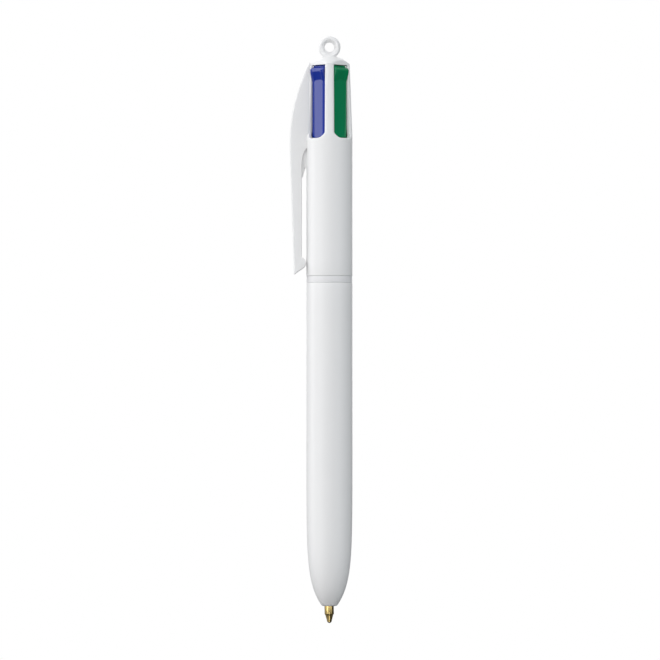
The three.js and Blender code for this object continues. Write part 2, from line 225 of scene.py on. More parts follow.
# The sliders across their front, and their knobs by height.
SLIDER = {
    "foot": 116.8, "panel": 3.92, "panel_half": 1.5, "edge": 3.79, "half": 2.38, "back": 2.85,
}
KNOB = {"root": 133.35, "lip": 135.8, "rise": 0.83, "top": 137.03}
REFILL = {"pivot": 103.5, "length": 97.44, "tube": 1.25, "bore": 0.9, "top": 0.8}
SPRING = {"r": 1.6, "wire": 0.17, "turns": 8}

# A refill hangs at REFILL_R from the axis and leans in: its ball is 2.5 mm from the axis when it is up,
# and on the axis when it is pressed.
LEAN_UP, LEAN_PRESSED = (math.asin((REFILL_R - r) / REFILL["length"]) for r in (2.5, 0.0))

# Each colour's slot, by its angle round the pen, whether it is latched down at rest, and its plastic.
COLOURS = {
    "blue": {"angle": 225, "pressed": False, "rgb": (0.0, 0.02, 0.27)},
    "green": {"angle": 315, "pressed": False, "rgb": (0.0, 0.205, 0.077)},
    "red": {"angle": 45, "pressed": False, "rgb": (0.5, 0.008, 0.015)},
    "black": {"angle": 135, "pressed": True, "rgb": (0.009, 0.009, 0.01)},
}

# ---- Mesh helpers: a part is (points, faces) in the pen's millimetres ----


def world(points):
    return np.asarray(points, float) * MM + (AXIS_X, 0, NOSE_Z)


def grid(points, wrap=False, closed=False):
    """Quads over rows of points. wrap joins each row's end to its start, and closed joins the last
    row to the first."""
    points = np.asarray(points, float)
    rows, columns = points.shape[:2]
    faces = []
    for r in range(rows if closed else rows - 1):
        for c in range(columns if wrap else columns - 1):
            r2, c2 = (r + 1) % rows, (c + 1) % columns
            faces.append((r * columns + c, r * columns + c2, r2 * columns + c2, r2 * columns + c))
    return points.reshape(-1, 3), faces


def capped(points):
    """A loft through closed rows of points, with a flat cap on each end."""
    flat, faces = grid(points, wrap=True)
    rows, columns = np.asarray(points).shape[:2]
    last = (rows - 1) * columns
    return flat, faces + [tuple(range(columns))[::-1], tuple(range(last, last + columns))]


def revolved(profile, sides=96, closed=True):
    """Turns a profile of (radius, height) round the axis."""
    profile = np.asarray(profile, float)
    turn = np.linspace(0, 2 * math.pi, sides, endpoint=False)
    r, z = profile[:, :1], profile[:, 1:]
    points = np.stack([r * np.cos(turn), r * np.sin(turn), z + 0 * turn], -1)
    return grid(points, wrap=True, closed=closed)


def polar(r, angle, z):
    """Points at angles round the axis, from +X."""
    return np.column_stack([r * np.cos(angle), r * np.sin(angle), z + 0 * angle])


def rounded(corners, steps=4):
    """A closed outline of (x, y, radius) corners with each corner drawn as an arc."""
    out = []
    for i, (x, y, r) in enumerate(corners):
        here = np.array((x, y), float)
        before = np.array(corners[i - 1][:2]) - here
        after = np.array(corners[(i + 1) % len(corners)][:2]) - here
        if r <= 0:
            out.append(here)
            continue
        u, v = before / np.linalg.norm(before), after / np.linalg.norm(after)
        half = math.acos(float(np.clip(u @ v, -1, 1))) / 2
        reach = min(r / math.tan(half), 0.48 * np.linalg.norm(before), 0.48 * np.linalg.norm(after))
        start, end = here + u * reach, here + v * reach
        centre = here + (u + v) / np.linalg.norm(u + v) * reach / math.cos(half)
        for s in np.linspace(0, 1, steps + 1):
            chord = start + (end - start) * s - centre
            radius = reach * math.tan(half)
            out.append(centre + chord / np.linalg.norm(chord) * radius)
    return np.array(out)


def prism(outline, foot, top, bevel=0.12):
    """A block standing along Z whose end faces are drawn in by a small bevel."""
    outline = np.asarray(outline, float)
    middle = outline.mean(0)
    size = np.abs(outline - middle).max()
    levels = []
    for z, inset in ((foot, bevel), (foot + bevel, 0), (top - bevel, 0), (top, bevel)):
        drawn = middle + (outline - middle) * (1 - inset / size)
        levels.append(np.column_stack([drawn, np.full(len(outline), z)]))
    return capped(levels)


def tube(path, radius, sides=10):
    """A round wire along a path, with closed ends."""
    path = np.asarray(path, float)
    along = np.gradient(path, axis=0)
    along /= np.linalg.norm(along, axis=1)[:, None]
    side = np.cross(along, (0, 0, 1.0))
    side /= np.linalg.norm(side, axis=1)[:, None]
    up = np.cross(side, along)
    turn = np.linspace(0, 2 * math.pi, sides, endpoint=False)[None, :, None]
    return capped(path[:, None] + radius * (np.cos(turn) * side[:, None] + np.sin(turn) * up[:, None]))


def turned(part, angle, offset=(0, 0, 0)):
    """A part moved by an offset and then turned round the pen's axis, in degrees."""
    points, faces = part
    a = math.radians(angle)
    spin = np.array([[math.cos(a), -math.sin(a), 0], [math.sin(a), math.cos(a), 0], [0, 0, 1]])
    return (points + offset) @ spin.T, faces


def joined(parts):
    """Several parts as one, so that make() welds them to each other."""
    points, faces, shift = [], [], 0
    for own_points, own_faces in parts:
        points.append(own_points)
        faces += [tuple(i + shift for i in face) for face in own_faces]
        shift += len(own_points)
    return np.concatenate(points), faces


def smooth(mesh, sharp):
    """Shades a mesh smooth, but for edges that turn by more than sharp degrees."""
    mesh.shade_smooth()
    mesh.set_sharp_from_angle(angle=math.radians(sharp))


def make(name, parts, material, slot, replaces=(), sharp=38):
    """One object from parts. The points of a part that meet are welded."""
    weld = 1e-6
    mesh = bpy.data.meshes.new(name)
    bm = bmesh.new()
    for points, faces in parts:
        verts = [bm.verts.new(p) for p in world(points)]
        for face in faces:
            bm.faces.new([verts[i] for i in face])
        new = set(verts)
        bmesh.ops.remove_doubles(bm, verts=[v for v in bm.verts if v in new], dist=weld)
    bmesh.ops.dissolve_degenerate(bm, edges=bm.edges[:], dist=weld / 2)
    bmesh.ops.recalc_face_normals(bm, faces=bm.faces[:])
    bm.to_mesh(mesh)
    bm.free()
    smooth(mesh, sharp)
    mesh.materials.append(material)
    piece = bpy.data.objects.new(name, mesh)
    bpy.context.scene.collection.objects.link(piece)
    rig.slot(piece, slot)
    if replaces:
        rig.replaces(piece, *replaces)
    return piece


# ---- Materials ----


class Nodes:
    """Short names for building a material's nodes."""

    def __init__(self, name):
        self.material = bpy.data.materials.new(name)
        self.material.use_nodes = True
        self.tree = self.material.node_tree
        self.shader = self.tree.nodes["Principled BSDF"]
        self.place = self.add("ShaderNodeTexCoord").outputs["Object"]

    def add(self, kind, **values):
        node = self.tree.nodes.new(kind)
        for key, value in values.items():
            if hasattr(node, key):
                setattr(node, key, value)
            else:
                node.inputs[key.replace("_", " ")].default_value = value
        return node

    def link(self, output, socket):
        self.tree.links.new(output, socket)

    def noise(self, scale, detail=3.0, stretch=(1, 1, 1)):
        mapping = self.add("ShaderNodeMapping", Scale=stretch)
        noise = self.add("ShaderNodeTexNoise", Scale=scale, Detail=detail)
        self.link(self.place, mapping.inputs["Vector"])
        self.link(mapping.outputs["Vector"], noise.inputs["Vector"])
        return noise.outputs["Fac"]

    def spread(self, fac, low, high):
        """Turns a noise of about 0.3 to 0.7 into values from low to high."""
        span = self.add("ShaderNodeMapRange")
        for socket, value in zip(span.inputs[1:5], (0.3, 0.7, low, high)):
            socket.default_value = value
        self.link(fac, span.inputs[0])
        return span.outputs[0]

    def tint(self, fac, dark, light):
        """Colours the surface between dark and light by a noise."""
        ramp = self.add("ShaderNodeValToRGB")
        for stop, place, colour in zip(ramp.color_ramp.elements, (0.3, 0.7), (dark, light)):
            stop.position, stop.color = place, (*colour, 1)
        self.link(fac, ramp.inputs["Fac"])
        self.link(ramp.outputs["Color"], self.shader.inputs["Base Color"])

    def bump(self, fac, strength, distance):
        bump = self.add("ShaderNodeBump", Strength=strength, Distance=distance)
        self.link(fac, bump.inputs["Height"])
        self.link(bump.outputs["Normal"], self.shader.inputs["Normal"])

    def rough(self, fac, low, high):
        self.link(self.spread(fac, low, high), self.shader.inputs["Roughness"])


def shaded(rgb, by):
    return tuple(min(1.0, c * by) for c in rgb)


PLASTIC_IOR = 1.49


def moulded(name, rgb, rough=(0.33, 0.36), texture=0.015):
    """Injection-moulded plastic: faint flow clouds, a fine grain, and gloss that varies a little."""
    n = Nodes(name)
    flow = n.noise(90, stretch=(1, 1, 0.25))
    grain = n.noise(9000, detail=2)
    n.tint(flow, shaded(rgb, 0.99), shaded(rgb, 1.005))
    n.rough(n.noise(250), *rough)
    n.bump(grain, texture, 0.00002)
    n.shader.inputs["IOR"].default_value = PLASTIC_IOR
    return n.material


def ink_paste(name, rgb):
    n = Nodes(name)
    n.tint(n.noise(900, stretch=(1, 1, 0.3)), shaded(rgb, 0.6), rgb)
    n.rough(n.noise(2000), 0.35, 0.6)
    return n.material


def clear_tube():
    n = Nodes("refill_tube")
    n.tint(n.noise(300, stretch=(1, 1, 0.1)), (0.8, 0.82, 0.83), (0.9, 0.91, 0.92))
    n.rough(n.noise(1500), 0.2, 0.34)
    n.shader.inputs["IOR"].default_value = PLASTIC_IOR
    n.shader.inputs["Alpha"].default_value = 0.15
    return n.material


def turned_metal(name, dark, light, rough, lines):
    """Metal with the fine rings of turning, or of drawing where lines is small."""
    n = Nodes(name)
    rings = n.noise(2500, detail=2, stretch=(0.05, 0.05, lines))
    n.tint(n.noise(1200), dark, light)
    n.rough(rings, *rough)
    n.bump(rings, 0.12, 0.00001)
    n.shader.inputs["Metallic"].default_value = 1.0
    return n.material


WHITE = moulded("white_plastic", (0.82, 0.82, 0.82))
COLLAR_WHITE = moulded("collar_plastic", (0.78, 0.78, 0.79), rough=(0.34, 0.42))
TUBE = clear_tube()
BRASS = turned_metal("brass", (0.85, 0.62, 0.23), (0.91, 0.69, 0.3), (0.19, 0.26), 4.0)
STEEL = turned_metal("spring_steel", (0.45, 0.45, 0.47), (0.56, 0.56, 0.58), (0.22, 0.36), 0.5)
BALL = turned_metal("ball_metal", (0.5, 0.5, 0.52), (0.58, 0.58, 0.6), (0.08, 0.14), 0.5)

# ---- Barrels ----


def nose_r(z):
    return BARREL_R - (BARREL_R - NOSE["rim"]) * np.exp(-np.asarray(z, float) / NOSE["length"])


def lower_barrel():
    """The nose closes in a soft ogive to a small rim; a socket takes the collar at the top."""
    hole, soft, top = NOSE["hole"], NOSE["soft"], LOWER_TOP
    up = NOSE["top"] * np.linspace(0, 1, 40) ** 2
    hole_top, straight_from = 0.9, NOSE["top"] + 4
    down = up[up > hole_top][::-1]
    inside = np.column_stack([np.maximum(nose_r(down) - NOSE["wall"], hole), down])
    turn = np.radians(np.linspace(0, 90, 6))
    seam_r, seam_z = BARREL_R - SEAM, top - SEAM
    profile = [
        (hole, soft), (hole + soft, 0.0), (NOSE["rim"] - soft, 0.0),
        *[(nose_r(z), z) for z in up[up > soft]],
        *[(BARREL_R, z) for z in np.linspace(straight_from, seam_z, 12)],
        *[(seam_r + SEAM * math.cos(a), seam_z + SEAM * math.sin(a)) for a in turn],
        (SOCKET["mouth"], top), (SOCKET["r"], seam_z), (SOCKET["r"], SOCKET["foot"]),
        (BARREL_R - NOSE["wall"], SOCKET["step"]),
        *inside,
    ]
    return make("lower_barrel_moulding", [revolved(profile, 128)], WHITE, "white_plastic",
                ["lower_barrel"])


def upper_r(z):
    """Outer radius of the upper barrel: straight, then a slight taper, then the dome."""
    z = np.asarray(z, float)
    taper = np.interp(z, (UPPER["taper_from"], SHOULDER_Z), (BARREL_R, UPPER["shoulder"]))
    dome = np.sqrt(np.maximum(UPPER["dome"] ** 2 - (z - DOME_Z) ** 2, 0))
    return np.where(z > SHOULDER_Z, dome, taper)


def outer_t(w, z):
    """How far out the surface lies over a slot's middle plane; a flat takes over above the slot."""
    t = np.sqrt(np.maximum(upper_r(z) ** 2 - np.square(w), 0))
    k = FLAT["soft"]
    flat = -k * np.logaddexp(-t / k, -FLAT["at"] / k)
    on = np.clip((z - FLAT["from"]) / (FLAT["full"] - FLAT["from"]), 0, 1)
    return t + (flat - t) * on


def bore_r(z, angle=0.0):
    """Inner radius. The ribs between the slots narrow it from lower down than the slots do."""
    bore = np.interp(z, RIBS["over"], (UPPER["bore"], RIBS["bore"]))
    rib = np.interp(np.abs(angle), RIBS["angles"], (0, 1)) * np.interp(z, RIBS["low"], (0, 1))
    return bore + (RIBS["bore"] - bore) * rib


def arc(start, end, steps):
    """Unit vectors that turn from start to end, in degrees, without the last."""
    turn = np.radians(np.linspace(start, end, steps + 1)[:-1])
    return np.column_stack([np.cos(turn), np.sin(turn)])


def slot_half():
    """Half a slot's outline as (across, height), from its top middle to its foot middle, and the
    outward normal at each point."""
    runs, top_r, foot_r = SLOT_RUNS, SLOT["top_r"], SLOT["foot_r"]
    top_turn, foot_turn = arc(90, 0, runs["top_arc"]), arc(0, -90, runs["foot_arc"])
    top_middle = np.array([SLOT["half_top"] - top_r, SLOT["top"] - top_r])
    foot_middle = np.array([SLOT["half_foot"] - foot_r, SLOT["foot"] + foot_r])
    upper, lower = top_middle + (top_r, 0), foot_middle + (foot_r, 0)
    top_w = np.linspace(0, top_middle[0], runs["top"] + 1)[:-1]
    foot_w = np.linspace(foot_middle[0], 0, runs["foot"] + 1)
    down = np.linspace(0, 1, runs["side"] + 1)[:-1, None]
    points = np.concatenate([
        np.column_stack([top_w, np.full(len(top_w), SLOT["top"])]), top_middle + top_r * top_turn,
        upper + (lower - upper) * down, foot_middle + foot_r * foot_turn,
        np.column_stack([foot_w, np.full(len(foot_w), SLOT["foot"])]),
    ])
    normals = np.concatenate([
        np.tile((0.0, 1.0), (len(top_w), 1)), top_turn, np.tile((1.0, 0.0), (len(down), 1)),
        foot_turn, np.tile((0.0, -1.0), (len(foot_w), 1)),
    ])
    return points, normals


def slot_border(points):
    """The place (angle, height) on the sector's border that each point of slot_half() is drawn to."""
    runs = SLOT_RUNS
    first = runs["top"] + runs["top_arc"]
    side = points[first:first + runs["side"], 1]
    side_top, side_foot = SLOT["top"] - SLOT["top_r"], SLOT["foot"] + SLOT["foot_r"]
    heights = [
        *np.linspace(SHOULDER_Z, side_top, runs["top_arc"] // 2 + 1)[:-1], *side,
        *np.linspace(side_foot, SECTOR_FOOT, runs["foot_arc"] // 2 + 1),
    ]
    border = [(HALF_SECTOR * i / OVER, SHOULDER_Z) for i in range(OVER)]
    border += [(HALF_SECTOR, z) for z in heights]
    border += [(HALF_SECTOR * (1 - i / UNDER), SECTOR_FOOT) for i in range(1, UNDER + 1)]
    return np.array(border)


def both_sides(half):
    """A half loop and its mirror image, as one closed loop."""
    return np.concatenate([half, half[-2:0:-1] * (-1, 1)])


def slot_surface():
    """From the sector's border over the outside, round the slot's lip, down its wall, and back out
    to the border along the bore."""
    points, normals = slot_half()
    at, normal, edge = (both_sides(half) for half in (points, normals, slot_border(points)))
    across, height, up = at[:, 0], at[:, 1], normal[:, 1:]
    side, foot, top = (np.array(LIP[key]) for key in ("side", "foot", "top"))
    lip = side + (top - side) * np.clip(up, 0, 1) + (foot - side) * np.clip(-up, 0, 1)
    wide, deep_lip = lip[:, :1], lip[:, 1]
    beside = np.clip(1 - 2 * np.abs(up[:, 0]), 0, 1)
    deep_lip = deep_lip + (outer_t(across, height) - LIP["wall_t"] - deep_lip) * beside
    rows = []

    rim = at + normal * wide
    rim_angle = np.arcsin(rim[:, 0] / upper_r(rim[:, 1]))
    for u in np.linspace(0, 1, 8) ** 0.8:
        angle = edge[:, 0] + (rim_angle - edge[:, 0]) * u
        z = edge[:, 1] + (rim[:, 1] - edge[:, 1]) * u
        w = upper_r(z) * np.sin(angle)
        rows.append(np.column_stack([outer_t(w, z), w, z]))
    for a in np.radians(np.linspace(0, 90, 7))[1:]:
        flat = at + normal * wide * (1 - math.sin(a))
        t = outer_t(flat[:, 0], flat[:, 1]) - deep_lip * (1 - math.cos(a))
        rows.append(np.column_stack([t, flat]))

    thinnest = 0.06
    wall = outer_t(across, height) - deep_lip
    deep = np.minimum(np.sqrt(bore_r(height) ** 2 - across ** 2), wall - thinnest)
    for s in (0.35, 0.7, 1.0):
        rows.append(np.column_stack([wall + (deep - wall) * s, at]))

    z_in = np.minimum(edge[:, 1], SLOT["top"])
    r_in = np.where(z_in >= SLOT["top"], CEILING_R, bore_r(z_in, edge[:, 0]))
    deep_angle, deep_r = np.arctan2(across, deep), np.hypot(across, deep)
    for u in (0.33, 0.67, 1.0):
        angle = deep_angle + (edge[:, 0] - deep_angle) * u
        rows.append(polar(deep_r + (r_in - deep_r) * u, angle, height + (z_in - height) * u))
    return grid(rows, wrap=True)


def dome():
    across = HALF_SECTOR * np.linspace(-1, 1, 2 * OVER + 1)
    widest = math.asin(UPPER["shoulder"] / UPPER["dome"])
    rows = []
    for a in widest * (1 - np.linspace(0, 1, 25)):
        z = np.full(len(across), DOME_Z + UPPER["dome"] * math.cos(a))
        w = UPPER["dome"] * math.sin(a) * np.sin(across)
        rows.append(np.column_stack([outer_t(w, z) if a > 0 else 0 * w, w, z]))
    return grid(rows)


def ceiling():
    across = HALF_SECTOR * np.linspace(-1, 1, 2 * OVER + 1)
    return grid([polar(r, across, SLOT["top"]) for r in (CEILING_R, 2.5, 1.2, 0.0)])


def skirt():
    """The plain barrel below the slots, round its lower edge and up the bore."""
    across = HALF_SECTOR * np.linspace(-1, 1, 2 * UNDER + 1)
    turn = np.radians(np.linspace(0, 90, 5))[1:]
    low, full = RIBS["low"]
    inner = (UPPER_FOOT, 112.0, low, (low + full) / 2, full, SECTOR_FOOT)
    profile = [
        *[(BARREL_R, z) for z in np.linspace(SECTOR_FOOT, UPPER_FOOT + SEAM, 10)],
        *[(BARREL_R - SEAM * (1 - math.cos(a)), UPPER_FOOT + SEAM * (1 - math.sin(a))) for a in turn],
        *[(bore_r(z, across), z) for z in inner],
    ]
    return grid([polar(r, across, z) for r, z in profile])


def upper_barrel():
    sector = [slot_surface(), dome(), ceiling(), skirt()]
    quarters = [turned(part, station["angle"]) for station in COLOURS.values() for part in sector]
    return make("upper_barrel_moulding", [joined(quarters)], WHITE, "white_plastic",
                ["upper_barrel"], sharp=50)


def lanyard_ring():
    """A loop with flat sides and a countersunk hole, standing on the dome in the clip's plane."""
    hole, outer, half = RING["hole"], RING["outer"], RING["half"]
    side = [
        (outer, 0.5, 0.4), (outer - 0.4, half, 0.25), (hole + 0.6, half - 0.02, 0.2),
        (hole + 0.25, 0.45, 0.2), (hole, 0.2, 0.25),
    ]
    outline = rounded([(x, -y, r) for x, y, r in reversed(side)] + side)
    points, faces = revolved(outline, 72)
    standing = np.column_stack([points[:, 0], -points[:, 2], points[:, 1] + RING["z"]])
    return make("lanyard_ring_moulding", [(standing, faces)], WHITE, "white_plastic",
                ["lanyard_ring"])


# ---- Clip ----


def clip_outer(z):
    """The clip's outer edge: straight up to the knee, then a bow that meets it smoothly."""
    knee_x, knee_z = CLIP["knee"]
    lean = math.atan((CLIP["tip_x"] - knee_x) / (knee_z - CLIP_TIP))
    bow_x, bow_z = knee_x + CLIP["bow"] * math.cos(lean), knee_z + CLIP["bow"] * math.sin(lean)
    straight = knee_x + (CLIP["tip_x"] - knee_x) * (knee_z - z) / (knee_z - CLIP_TIP)
    bow = bow_x - np.sqrt(CLIP["bow"] ** 2 - (z - bow_z) ** 2)
    return np.where(z > knee_z, bow, straight)


def bezier(start, pull, end, s):
    """A curve from start to end that leans towards pull."""
    start, pull, end = (np.array(point, float) for point in (start, pull, end))
    s = np.asarray(s)[:, None]
    return (1 - s) ** 2 * start + 2 * s * (1 - s) * pull + s**2 * end


def clip_inner(z):
    """The inner edge: inside the barrel at the root, a curve out of it, a straight gap, then the bump."""
    inner_x, leaves_z, spread = CLIP["inner_x"], CLIP["leaves"][1], 0.3
    if z > leaves_z:
        return CLIP["sunk_x"] + spread * (z - leaves_z) / (CLIP["top"] - leaves_z)
    if z > CLIP["root"][1]:
        curve = bezier(CLIP["root"], CLIP["pull"], CLIP["leaves"], np.linspace(0, 1, 60))
        return float(np.interp(z, curve[:, 1], curve[:, 0]))
    (bump_x, bump_z), r = CLIP["bump"], CLIP["bump_r"]
    bump = bump_x + math.sqrt(max(r**2 - (z - bump_z) ** 2, 0))
    across, up = bump_x - CLIP["tip_x"], bump_z - CLIP_TIP
    tangent = math.atan2(up, across) - math.pi + math.acos(r / math.hypot(across, up))
    leave_x, leave_z = bump_x + r * math.cos(tangent), bump_z + r * math.sin(tangent)
    if z < leave_z:
        tip_thick = 0.18
        tip = CLIP["tip_x"] + tip_thick
        return tip + (leave_x - tip) * (z - CLIP_TIP) / (leave_z - CLIP_TIP)
    return max(inner_x, bump) if z < bump_z + r else inner_x


def clip():
    """One springy moulding: its root is part of the upper barrel and its arm bends away below it."""
    round_out, round_in = 0.38, 0.2
    tip_insets = {CLIP_TIP: 0.14, CLIP_TIP + 0.04: 0.05}
    heights = np.concatenate([
        [*tip_insets, CLIP_TIP + 0.14], np.linspace(CLIP_TIP + 0.3, 88.6, 22),
        np.linspace(89.2, 111.5, 36), np.linspace(CLIP["root"][1], CLIP["leaves"][1], 16),
        np.linspace(116.3, 137.5, 40), [137.75, CLIP["top"]],
    ])
    rows = []
    for z in heights:
        down = (CLIP["top"] - z) / (CLIP["top"] - CLIP_TIP)
        half = CLIP["half_top"] + (CLIP["half_tip"] - CLIP["half_top"]) * down - tip_insets.get(z, 0)
        out, inn = float(clip_outer(z)), clip_inner(z)
        limit = 0.25 * (inn - out)
        r_out, r_in = min(round_out, limit), min(round_in, limit)
        corners = [(out, half, r_out), (out, -half, r_out), (inn, -half, r_in), (inn, half, r_in)]
        outline = rounded(corners, 5)
        rows.append(np.column_stack([outline, np.full(len(outline), z)]))
    piece = make("clip_moulding", [capped(rows)], WHITE, "white_plastic", ["clip_arm"], sharp=30)
    bend_x, bend_top, bend_foot = -8.4, 109.0, 103.0
    ends = (tuple(world((bend_x, 0, z))) for z in (bend_top, bend_foot))
    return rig.blend(piece, "upper_body", "clip", *ends)


def clip_web():
    """The narrow web between the clip's root and the barrel, set back from the clip's sides."""
    half, bevel = 0.75, 0.1
    back_x, front_x, top, foot = -7.6, -5.2, 116.4, 108.8
    curve = bezier((-6.85, foot), (-6.35, 111.2), (-5.75, 111.5), np.linspace(0, 1, 12))
    outline = np.array([(back_x, top), (back_x, foot), *curve, (front_x, 111.5), (front_x, top)])
    outward = np.sign(outline - outline.mean(0))
    levels = []
    for y, inset in ((-half, bevel), (bevel - half, 0), (half - bevel, 0), (half, bevel)):
        x, z = (outline - outward * inset).T
        levels.append(np.column_stack([x, np.full(len(outline), y), z]))
    return make("clip_web_moulding", [capped(levels)], WHITE, "white_plastic")


# ---- Inside: collar, core, springs ----


def drill(piece, drills):
    """Cuts round holes through a piece, and welds the slivers that the cut leaves."""
    close = 5e-6
    cutter = make("drill", drills, COLLAR_WHITE, "collar_plastic")
    cut = piece.modifiers.new("holes", "BOOLEAN")
    cut.operation, cut.object, cut.solver = "DIFFERENCE", cutter, "EXACT"
    graph = bpy.context.evaluated_depsgraph_get()
    mesh = bpy.data.meshes.new_from_object(piece.evaluated_get(graph))
    piece.modifiers.clear()
    piece.data = mesh
    bpy.data.objects.remove(cutter)
    bm = bmesh.new()
    bm.from_mesh(mesh)
    bmesh.ops.remove_doubles(bm, verts=bm.verts[:], dist=close)
    bmesh.ops.dissolve_degenerate(bm, edges=bm.edges[:], dist=close)
    bmesh.ops.recalc_face_normals(bm, faces=bm.faces[:])
    bm.to_mesh(mesh)
    bm.free()
    smooth(mesh, 38)


def threaded_collar():
    inner, plate, r, hole_r = COLLAR["inner"], COLLAR["plate"], BAND["r"], COLLAR["hole"]
    spigot = UPPER["bore"] - 0.1
    outline = rounded([
        (inner, COLLAR["foot"], 0.1), (COLLAR["outer"], COLLAR["foot"], 0.2),
        (COLLAR["outer"], BAND["foot"], 0.05), (r, BAND["foot"], 0.05), (r, BAND["top"], 0.05),
        (spigot, BAND["top"], 0.05), (spigot, PLATE_TOP, 0.2), (0, PLATE_TOP, 0), (0, plate, 0),
        (inner, plate, 0.3),
    ])
    piece = make("collar_moulding", [revolved(outline, 96)], COLLAR_WHITE, "collar_plastic",
                 ["threaded_collar"])
    under, over = plate - 1, PLATE_TOP + 1
    hole = revolved([(0, under), (hole_r, under), (hole_r, over), (0, over)], 40, closed=False)
    drill(piece, [turned(hole, station["angle"], (REFILL_R, 0, 0)) for station in COLOURS.values()])
    return piece


def collar_thread():
    """A rounded ridge that runs out at both ends."""
    t = np.linspace(0, 1, 48 * THREAD["turns"] + 1)
    turn = 2 * math.pi * THREAD["turns"] * t
    sunk = THREAD["ridge"] * (1 - np.clip(np.minimum(t, 1 - t) * 24, 0, 1))
    radius = THREAD["r"] - 0.02 - sunk
    z = THREAD["from"] + THREAD["pitch"] * THREAD["turns"] * t
    wire = tube(polar(radius, turn, z), THREAD["ridge"], 8)
    return make("collar_thread", [wire], COLLAR_WHITE, "collar_plastic")


def latch_core():
    """A post with four thin walls between the sliders, and a catch above the pressed ones."""
    arm, half, round_r = 3.3, 0.4, 0.15
    post, catch, walls_foot, catch_foot, bevel = 0.6, 0.85, 109.2, 126.6, 0.1
    corners = ((arm, half), (-arm, half), (-arm, -half), (arm, -half))
    walls = prism(rounded([(x, y, round_r) for x, y in corners]), walls_foot, CORE_TOP)
    posts = [
        revolved([(0, foot), (r - bevel, foot), (r, foot + bevel), (r, CORE_TOP), (0, CORE_TOP)], 32,
                 closed=False)
        for r, foot in ((post, PLATE_TOP + bevel), (catch, catch_foot))
    ]
    return make("latch_core_moulding", [walls, turned(walls, 90), *posts], COLLAR_WHITE,
                "collar_plastic", ["latch_core"])


def spring(colour):
    """A coil with closed ends between the guide plate and its slider."""
    station = COLOURS[colour]
    foot, head = PLATE_TOP, SLIDER_FOOT - (TRAVEL if station["pressed"] else 0)
    wire, turns, height = SPRING["wire"], SPRING["turns"], head - foot
    t = np.linspace(0, 1, 28 * turns + 1)
    angle = 2 * math.pi * turns * t
    closed, coil = 1 / turns, 2.2 * wire
    free = height - 2.4 * wire
    rise = np.interp(t, (0, closed, 1 - closed, 1), (0, coil, free - coil, free))
    path = polar(SPRING["r"], angle, foot + 1.2 * wire + rise)
    part = turned(tube(path, wire, 8), station["angle"], (REFILL_R, 0, 0))
    piece = make(f"{colour}_spring_wire", [part], STEEL, "spring_steel", [f"spring_{colour}"])
    ends = (tuple(world((0, 0, z))) for z in (foot, head))
    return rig.blend(piece, "upper_body", f"{colour}_slider", *ends)


# ---- Sliders ----


def knob_rise(z):
    """How far the front stands out of the panel: a ramp up to the lip, then a rounded top."""
    root, lip, rise = KNOB["root"], KNOB["lip"], KNOB["rise"]
    ramp = [(root, 0), (root + 0.3, 0.1), (lip - 0.35, rise - 0.06), (lip, rise)]
    fall = ((0.25, 0.1), (0.5, 0.3), (0.68, 0.55), (0.82, 0.85), (0.88, 1.1))
    over = [(lip + up, rise - back) for up, back in fall] + [(KNOB["top"], rise - 1.14)]
    heights, out = zip(*ramp, *over)
    return np.interp(z, heights, out)


def slider_front(w, z):
    """How far out the front lies: a flat panel with a long chamfer on each side. The panel's upper
    corners are round."""
    half, panel, edge, across = SLIDER["panel_half"], SLIDER["panel"], SLIDER["edge"], np.abs(w)
    base = np.interp(across, (0, half - 0.06, half + 0.08, SLIDER["half"]),
                     (panel, panel, panel - 0.02, edge))
    corner = 0.4 * np.clip(across / half, 0, 1) ** 6
    fade = np.clip((KNOB["lip"] - z) / 1.5, 0, 1)
    early = np.where(z < KNOB["lip"] - 0.4, corner * fade, 0)
    return base + knob_rise(z + early)


def slider_cap():
    """The coloured bar that shows in the slot, with its knob."""
    half, back, foot, top, lip = SLIDER["half"], SLIDER["back"], SLIDER["foot"], KNOB["top"], KNOB["lip"]
    side = np.array([0.4, 0.8, 1.2, 1.38, 1.44, 1.5, 1.58, 1.7, 1.95, half - 0.1])
    across = np.concatenate([-side[::-1], [0], side])
    foot_insets = {foot: 0.15, foot + 0.05: 0.05, foot + 0.15: 0.01}
    heights = np.concatenate([
        [*foot_insets, foot + 0.4], np.linspace(118, 132.4, 12), np.linspace(132.6, 134.4, 15),
        np.linspace(134.7, 135.5, 5), np.linspace(135.6, top, 22),
    ])
    rows = []
    for z in heights:
        inset = foot_insets.get(z, 0) + 0.12 * max(0, (z - lip) / (top - lip)) ** 3
        front = np.column_stack([slider_front(across, z) - inset, across * (1 - inset / half)])
        edge_t, edge_w = front[-1]
        right = [
            (edge_t - 0.03, edge_w + 0.06), (edge_t - 0.1, edge_w + 0.095),
            (edge_t - 0.2, edge_w + 0.1), (back + 0.1, edge_w + 0.02), (back, edge_w - 0.1),
        ]
        left = [(t, -w) for t, w in reversed(right)]
        outline = np.array([*front, *right, *left])
        rows.append(np.column_stack([outline, np.full(len(outline), z)]))
    return capped(rows)


